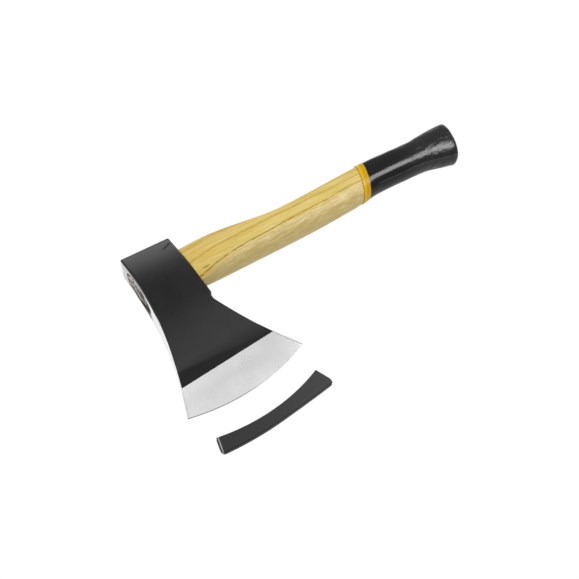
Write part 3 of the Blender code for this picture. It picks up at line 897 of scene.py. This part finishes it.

# %% [markdown]
# Satin black paint covers the forging, except where it was ground after painting: the bevel and the
# top of the head. One material with masks gives crisp limits that follow the grinding strokes. Two
# materials on separate faces would end at straight face edges. The top stays black along the far side of
# the eye, and a painted shadow darkens a thin line along the cutting edge. One scuff of rougher paint
# crosses the cheek near the poll, darkened as painted shade of a shallow dent, and the ground steel
# darkens towards the heel as painted shade. Lengths in this and the other finishes are millimetres in
# the hatchet's own frame.

# %% Finish of the head
PAINT = (0.0050, 0.0050, 0.0054)
WORN_PAINT = (0.0080, 0.0080, 0.0085)
DENT_SHADE_PAINT = (0.0020, 0.0020, 0.0020)
BRIGHT_STEEL = (0.93, 0.93, 0.93)
GROUND_STEEL = (0.80, 0.80, 0.80)
DULL_STEEL = (0.74, 0.74, 0.74)
TOP_STEEL = (0.82, 0.82, 0.82)
POLL_STEEL = (0.56, 0.56, 0.56)
HEEL_STEEL = (0.55, 0.55, 0.55)
EDGE_SHADE_STEEL = (0.20, 0.20, 0.20)
EDGE_SHADE_WIDTH = 0.6
EDGE_SHADE_RANGE = (25.0, -10.0)
HEEL_RANGE = (0.0, 58.0)
POLL_RANGE = (14.0, 30.0)
DARK_FAR_SIDE_START = (20.0, 27.0)
DARK_FAR_SIDE_END = (56.0, 52.0)
PAINTED_RIM = 2.6
SCUFF_START = (11.5, 19.9)
SCUFF_LENGTH = 10.3
SCUFF_ANGLE = math.radians(24.6)


def dress(piece, material):
    piece.data.materials.clear()
    piece.data.materials.append(material)


def bare_top(finish, place, x, reach, z):
    """1 on the ground top of the head, 0 where it stays black along the far side of the eye."""
    past = (reach - SWEEP_START / MM).math("MAXIMUM", 0.0) / ((TOE_REACH - SWEEP_START) / MM)
    top_line = -HEAD_RISE / MM - (TOE_RISE - HEAD_RISE) / MM * past.squared()
    patches = finish.noise(place, 0.25, 3.0)
    far_side = finish.step(z + 6.0 * patches, 1.0, -3.0) * finish.step(reach, *DARK_FAR_SIDE_START)
    far_side = far_side * finish.step(reach, *DARK_FAR_SIDE_END)
    near_rim = finish.step(z, CROWN_HALF / MM - PAINTED_RIM - 0.3, CROWN_HALF / MM - PAINTED_RIM)
    return finish.step(x - top_line, 0.75, 0.35) * (1 - far_side) * (1 - near_rim)


def scuff_and_shade_mark(finish, x, y):
    across, up = x - SCUFF_START[0], y - SCUFF_START[1]
    along = across * math.cos(SCUFF_ANGLE) + up * math.sin(SCUFF_ANGLE)
    aside = abs(up * math.cos(SCUFF_ANGLE) - across * math.sin(SCUFF_ANGLE))
    ends = finish.step(along, -1.0, 2.0) * finish.step(along, SCUFF_LENGTH + 1.0, SCUFF_LENGTH - 2.0)
    return ends * finish.step(aside, 1.2, 0.2)


def painted_steel():
    finish = Finish("painted_steel")
    place = finish.place(LAY)
    x, y, z = finish.split(place)
    reach = POLL_TO_EYE / MM - y
    strokes = finish.noise(finish.scaled(place, 2.6, 0.05, 0.3), detail=3.0, roughness=0.6)
    beyond = reach - BEVEL_LINE[0] / MM - BEVEL_LINE[2] * (x - BEVEL_LINE[1] / MM)
    bevel = finish.step(beyond + 0.5 * (strokes - 0.5), -0.10, 0.10)
    top = bare_top(finish, place, x, reach, z)
    bare = bevel.math("MAXIMUM", top)

    # Painted shadow: a thin dark line along the cutting edge, fading out towards the heel.
    from_centre = (x - arc_centre.x / MM).squared() + (y - arc_centre.y / MM).squared()
    inside = EDGE_RADIUS / MM - from_centre.math("SQRT")
    edge_shade = finish.step(inside, EDGE_SHADE_WIDTH, EDGE_SHADE_WIDTH / 2) * finish.step(x, *EDGE_SHADE_RANGE)

    shade = finish.noise(place, 0.05, 4.0)
    paint = finish.mix(finish.step(shade, 0.35, 0.7), PAINT, WORN_PAINT)
    # The scuff is rougher paint; its darker colour is painted shade of a shallow dent.
    scuff_and_shade = scuff_and_shade_mark(finish, x, y)
    paint = finish.mix(scuff_and_shade, paint, DENT_SHADE_PAINT)
    clouds = finish.noise(place, 0.06, 3.0)
    steel = finish.mix(finish.step(0.4 * strokes + 0.6 * clouds, 0.35, 0.65), DULL_STEEL, GROUND_STEEL)
    steel = finish.mix(finish.step(beyond + 12.0 * (clouds - 0.5), 14.0, 0.0), steel, BRIGHT_STEEL)
    # Painted shade: the ground steel darkens towards the heel, for a dimmer reflection there.
    steel = finish.mix(0.9 * finish.step(x, *HEEL_RANGE), steel, HEEL_STEEL)
    steel = finish.mix(edge_shade, steel, EDGE_SHADE_STEEL)
    top_steel = finish.mix(finish.step(reach, *POLL_RANGE), POLL_STEEL, TOP_STEEL)
    steel = finish.mix(top * (1 - bevel), steel, top_steel)
    grain = finish.noise(place, 1.2, 3.0)
    height = grain * (1 - bare) + 0.3 * strokes * bare
    return finish.shader(
        base_color=finish.mix(bare, paint, steel),
        metallic=bare,
        roughness=0.25 + 0.06 * shade + 0.4 * scuff_and_shade,
        normal=finish.bump(height, 0.014),
    )


dress(head, painted_steel())
print("head is painted and ground")

# %% [markdown]
# Ash has broad growth rings with a line of open pores at the start of each year. Sawn as here, they show
# as long dark lines on the upper cheek, which draw closer towards the grip and dip beside the head. The
# side towards the edge is plain and flecked, and darkened by painted shade towards its lower border. The
# rings are counted across the handle from one chosen line, and a colour ramp turns the count into wood.
# At the end of the tenon the same wood shows its end grain, rough because it was never lacquered, with
# dark pores, and with painted shade round its rim and towards the blade.

# %% Finish of the handle
RING_GAP = 11.6
GAP_CHANGE = -0.033
RING_MIDDLE = 2.0
RING_DRIFT = 0.012
RING_DIP = 4.5
RING_FROM = 100.0
DIP_RANGE = (65.0, 20.0)
WARM_RANGE = (75.0, 25.0)
CROWDED_RANGE = (150.0, 70.0)
PLAIN_FROM_RING = (-1.06, -1.30)
KNOT = (33.0, -13.4)
KNOT_SIZE = (4.5, 1.0)
PALE_ASH = (0.80, 0.65, 0.29)
FLECKED_ASH = (0.62, 0.46, 0.14)
SHADE_AND_FLECK_ASH = (0.50, 0.38, 0.14)
WARM_ASH = (0.74, 0.48, 0.06)
FIBRE = (0.56, 0.38, 0.06)
PORE = (0.22, 0.125, 0.010)
END_GRAIN = (0.86, 0.80, 0.72)
END_PORES_AND_SHADE = (0.06, 0.05, 0.045)
RING_COLOURS = (
    (0.00, (0.76, 0.58, 0.150)),
    (0.25, (0.74, 0.55, 0.120)),
    (0.42, (0.72, 0.48, 0.070)),
    (0.48, (0.54, 0.36, 0.040)),
    (0.52, (0.54, 0.36, 0.040)),
    (0.57, (0.74, 0.55, 0.110)),
    (1.00, (0.76, 0.58, 0.150)),
)


def end_grain(finish, place, y, z):
    spots = finish.step(finish.noise(place, 0.2, 4.0, 0.65), 0.47, 0.54)
    length, width = (size / MM / 2 for size in EYE_TOP)
    from_middle = ((y + EYE_SHIFT / MM) / length).squared() + (z / width).squared()
    # Painted shade darkens the tenon's rim and its end towards the blade; the spots are dark pores.
    rim = finish.step(from_middle + 0.5 * spots, 0.7, 1.0)
    edge_side = finish.step(y + 8.0 * (1 - spots), 16.0, 0.0)
    pores_and_shade = rim.math("MAXIMUM", edge_side).math("MAXIMUM", spots)
    return finish.mix(0.9 * pores_and_shade, END_GRAIN, END_PORES_AND_SHADE)


def ash_wood():
    finish = Finish("ash_wood")
    place = finish.place(LAY)
    x, y, z = finish.split(place)
    wander = finish.noise(finish.scaled(place, 0.05, 0.08, 0.08), detail=3.0)
    fibres = finish.noise(finish.scaled(place, 0.07, 2.2, 2.2), detail=4.0, roughness=0.6)
    pores = finish.noise(finish.scaled(place, 0.20, 2.0, 2.0), detail=2.0)
    mottle = finish.noise(finish.scaled(place, 0.07, 0.5, 0.5), detail=5.0, roughness=0.7)

    from_start = x - RING_FROM
    middle = RING_MIDDLE + RING_DRIFT * from_start - RING_DIP * finish.step(x, *DIP_RANGE)
    uneven = 3.0 * (wander - 0.5) + 1.6 * (pores - 0.5)
    ring = (y - middle + uneven) / (RING_GAP + GAP_CHANGE * from_start)
    year = (ring + 0.5).math("FRACT")
    rings = finish.add("ShaderNodeValToRGB", {"stops": RING_COLOURS}, {"Fac": year})
    streaks = finish.noise(finish.scaled(place, 0.025, 0.6, 0.6), detail=4.0, roughness=0.6)
    rings = finish.mix(finish.step(streaks, 0.50, 0.66), rings, PALE_ASH)
    rings = finish.mix(0.55 * finish.step(streaks, 0.47, 0.34), rings, FIBRE)
    rings = finish.mix(0.4 * finish.step(x + 80.0 * (mottle - 0.5), *WARM_RANGE), rings, WARM_ASH)
    dashes = finish.step(pores + 0.5 * (streaks - 0.5), 0.42, 0.56)
    on_line = finish.step(abs(year - 0.5), 0.07, 0.02) * dashes
    rings = finish.mix((0.5 + 0.4 * finish.step(ring, -0.5, -0.9)) * on_line, rings, PORE)

    crowded = finish.step(abs((3.0 * ring).math("FRACT") - 0.5), 0.16, 0.04)
    crowded = crowded * finish.step(ring, 0.25, 0.45) * finish.step(x, *CROWDED_RANGE)
    rings = finish.mix(0.6 * crowded, rings, FIBRE)

    quiet = finish.mix(finish.step(mottle, 0.40, 0.62), FLECKED_ASH, PALE_ASH)
    # Painted shade: the plain side darkens towards its lower border, on the edge side.
    quiet = finish.mix(0.55 * finish.step(y + 20.0 * (mottle - 0.5), -12.0, -20.0), quiet, SHADE_AND_FLECK_ASH)
    flecks = finish.noise(finish.scaled(place, 0.16, 1.1, 1.1), detail=3.0, roughness=0.6)
    quiet = finish.mix(0.5 * finish.step(flecks, 0.52, 0.66), quiet, SHADE_AND_FLECK_ASH)
    wood = finish.mix(finish.step(ring, *PLAIN_FROM_RING), rings, quiet)
    wood = finish.mix(0.6 * finish.step(fibres, 0.52, 0.70), wood, FIBRE)
    knot = ((x - KNOT[0]) / KNOT_SIZE[0]).squared() + ((y - KNOT[1]) / KNOT_SIZE[1]).squared()
    in_knot = finish.step(knot + 0.8 * pores, 1.4, 0.5) * finish.step(z, 0.0, 5.0)
    wood = finish.mix(0.7 * in_knot, wood, PORE)
    end = finish.step(x, -HEAD_RISE / MM + 0.5, -HEAD_RISE / MM + 0.1)
    return finish.shader(
        base_color=finish.mix(end, wood, end_grain(finish, place, y, z)),
        roughness=0.42 + 0.12 * fibres + 0.5 * end,
        normal=finish.bump(fibres, 0.04, 0.5),
    )


dress(handle, ash_wood())
print("handle has rings about", RING_GAP, "mm apart")

# %% [markdown]
# The wedges show only their ends, in the top of the head. The wooden one has tight end grain, darkened
# towards the blade by painted shade. The steel ones were ground with the head and carry specks of rust.

# %% Finish of the wedges
WEDGE_WOOD = (0.56, 0.46, 0.38)
WEDGE_LINES = (0.07, 0.05, 0.04)
WEDGE_STEEL = (0.35, 0.35, 0.35)
RUST = (0.05, 0.04, 0.035)


def wedge_wood():
    finish = Finish("wedge_wood")
    place = finish.place(LAY)
    y = finish.split(place)[1]
    lines = finish.noise(finish.scaled(place, 0.2, 0.20, 0.8), detail=3.0)
    colour = finish.mix(finish.step(lines, 0.42, 0.58), WEDGE_LINES, WEDGE_WOOD)
    # Painted shade: the end darkens towards the blade.
    colour = finish.mix(0.8 * finish.step(y, 10.0, -4.0), colour, END_PORES_AND_SHADE)
    return finish.shader(base_color=colour, roughness=0.8 + 0.2 * lines, normal=finish.bump(lines, 0.05))


def wedge_steel():
    finish = Finish("wedge_steel")
    place = finish.place(LAY)
    rust = finish.step(finish.noise(place, 0.7, 4.0), 0.5, 0.65)
    colour = finish.mix(rust, WEDGE_STEEL, RUST)
    return finish.shader(base_color=colour, metallic=1.0 - 0.7 * rust, roughness=0.4 + 0.3 * rust)


steel = wedge_steel()
for node, material in zip(WEDGES, (wedge_wood(), steel, steel)):
    frame["nodes"][node].material_slots[0].material = material
print("wedges:", WEDGES)

# %% [markdown]
# The ring and the grip were dipped. The ring's yellow is deeper along its grip side, where the paint
# ran thick. The grip is glossy black, and its shine depends on a low roughness and on the softboxes.
# Towards the knob the lacquer dried rougher and lumpy, so the streak spreads there.

# %% Finish of the ring and the grip
YELLOW = (0.75, 0.455, 0.003)
DEEP_YELLOW = (0.61, 0.345, 0.001)
LACQUER = (0.0130, 0.0130, 0.0135)
THIN_LACQUER = (0.0190, 0.0190, 0.0195)
ROUGH_END = (245.0, 295.0)
LOW_SHINE = 0.15


def ring_paint():
    finish = Finish("ring_paint")
    place = finish.place(LAY)
    x, y, _ = finish.split(place)
    across = x - DIP_SLANT * y - BAND_AT / MM
    uneven = finish.noise(place, 0.25, 3.0)
    colour = finish.mix(finish.step(across + 2.0 * uneven, 3.0, 5.0), YELLOW, DEEP_YELLOW)
    return finish.shader(
        base_color=colour,
        roughness=0.3 + 0.1 * uneven,
        specular_ior_level=LOW_SHINE,
        normal=finish.bump(uneven, 0.05),
    )


def grip_lacquer():
    finish = Finish("grip_lacquer")
    place = finish.place(LAY)
    x = finish.split(place)[0]
    runs = finish.noise(finish.scaled(place, 0.05, 0.16, 0.16), detail=3.0)
    rough_end = finish.step(x, *ROUGH_END)
    lumps = finish.noise(finish.scaled(place, 0.11, 0.22, 0.22), detail=1.5) * rough_end
    colour = finish.mix(runs, LACQUER, THIN_LACQUER)
    return finish.shader(
        base_color=colour,
        roughness=0.13 + 0.08 * runs + 0.16 * rough_end,
        specular_ior_level=LOW_SHINE,
        coat_weight=0.4 * rough_end,
        coat_roughness=0.25,
        normal=finish.bump(lumps, 1.5),
    )


dress(band, ring_paint())
dress(coat, grip_lacquer())
print("ring and grip are dipped")

# %% [markdown]
# The guard is matt dark plastic. Its mould was spark-eroded, which leaves a fine even grain, so the
# material is a small bump, with painted light that makes the plastic lighter towards the heel end. A
# thin painted highlight runs along the rim at the toe end: its line is a distance from the plane of
# that end.

# %% Finish of the guard
PLAIN_PLASTIC = (0.009, 0.009, 0.0095)
PAINTED_LIGHT_PLASTIC = (0.026, 0.026, 0.0265)
TOE_HIGHLIGHT_PLASTIC = (0.45, 0.45, 0.45)
PAINTED_LIGHT_RANGE = (-45.0, 60.0)
RIM_START = (0.5, 0.9)
RIM_END = (1.8, 1.4)
TOE_END = -half_angle - skew


def guard_plastic():
    finish = Finish("guard_plastic")
    place = finish.place(GUARD_LAY)
    x, y, _ = finish.split(place)
    grain = finish.noise(place, 3.0, 2.0)
    blotches = finish.noise(place, 0.05, 3.0)
    # Painted light: the plastic is lighter towards the heel end.
    to_heel = finish.step(x + 40.0 * (blotches - 0.5), *PAINTED_LIGHT_RANGE)
    colour = finish.mix(to_heel, PLAIN_PLASTIC, PAINTED_LIGHT_PLASTIC)
    # A painted highlight along the rim at the toe end.
    from_end = (x - arc_centre.x / MM) * math.cos(TOE_END) + (y - arc_centre.y / MM) * math.sin(TOE_END)
    rim = finish.step(from_end, *RIM_START) * finish.step(from_end, *RIM_END)
    colour = finish.mix(0.8 * rim, colour, TOE_HIGHLIGHT_PLASTIC)
    return finish.shader(base_color=colour, roughness=0.55 + 0.1 * blotches, normal=finish.bump(grain, 0.03))


dress(guard, guard_plastic())
print("guard is moulded")

# %% [markdown]
# At the end, the box of the finished pieces is written beside the box of the solids.

# %% Compare the boxes and finish
boxes = {"cad": cad_box, "visual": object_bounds()}
boxes = {name: [list(corner) for corner in box] for name, box in boxes.items()}
print("boxes:", boxes)
